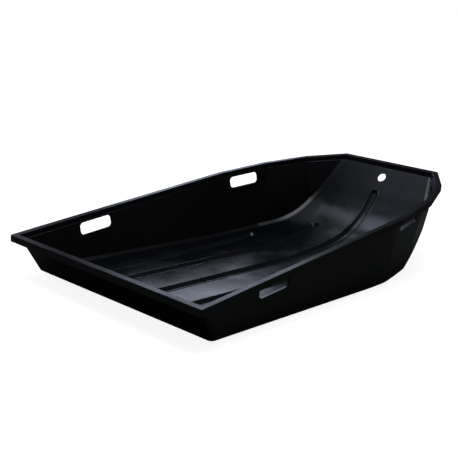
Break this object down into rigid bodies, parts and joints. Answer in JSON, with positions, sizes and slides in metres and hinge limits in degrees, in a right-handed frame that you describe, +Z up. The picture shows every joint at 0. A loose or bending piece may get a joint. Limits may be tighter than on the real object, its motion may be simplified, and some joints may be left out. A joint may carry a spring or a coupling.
{
  "type": "utility sled",
  "caption": "Shallow moulded plastic tub sled with a stepped rim, faceted upswept bow, hand slots, a tow hole and moulded runners.",
  "frame": {"origin": "middle of the length and of the width, on the ground under the runners", "axes": "+X towards the bow, +Y to port, +Z up"},
  "size_m": [1.342, 0.7998, 0.2892],
  "materials": {
    "polyethylene": "satin"
  },
  "bodies": {
    "root": {"floor_pan": "polyethylene", "bow_ramp": "polyethylene", "stern_wall": "polyethylene", "stern_rim": "polyethylene", "bow_rim": "polyethylene", "centre_runner": "polyethylene", "port_side_wall": "polyethylene", "port_side_rim": "polyethylene", "port_shoulder_wall": "polyethylene", "port_shoulder_rim": "polyethylene", "port_bow_wall": "polyethylene", "port_bow_rim": "polyethylene", "port_corner_wall": "polyethylene", "port_corner_rim": "polyethylene", "port_inner_runner": "polyethylene", "port_outer_runner": "polyethylene", "starboard_side_wall": "polyethylene", "starboard_side_rim": "polyethylene", "starboard_shoulder_wall": "polyethylene", "starboard_shoulder_rim": "polyethylene", "starboard_bow_wall": "polyethylene", "starboard_bow_rim": "polyethylene", "starboard_corner_wall": "polyethylene", "starboard_corner_rim": "polyethylene", "starboard_inner_runner": "polyethylene", "starboard_outer_runner": "polyethylene"}
  },
  "joints": []
}
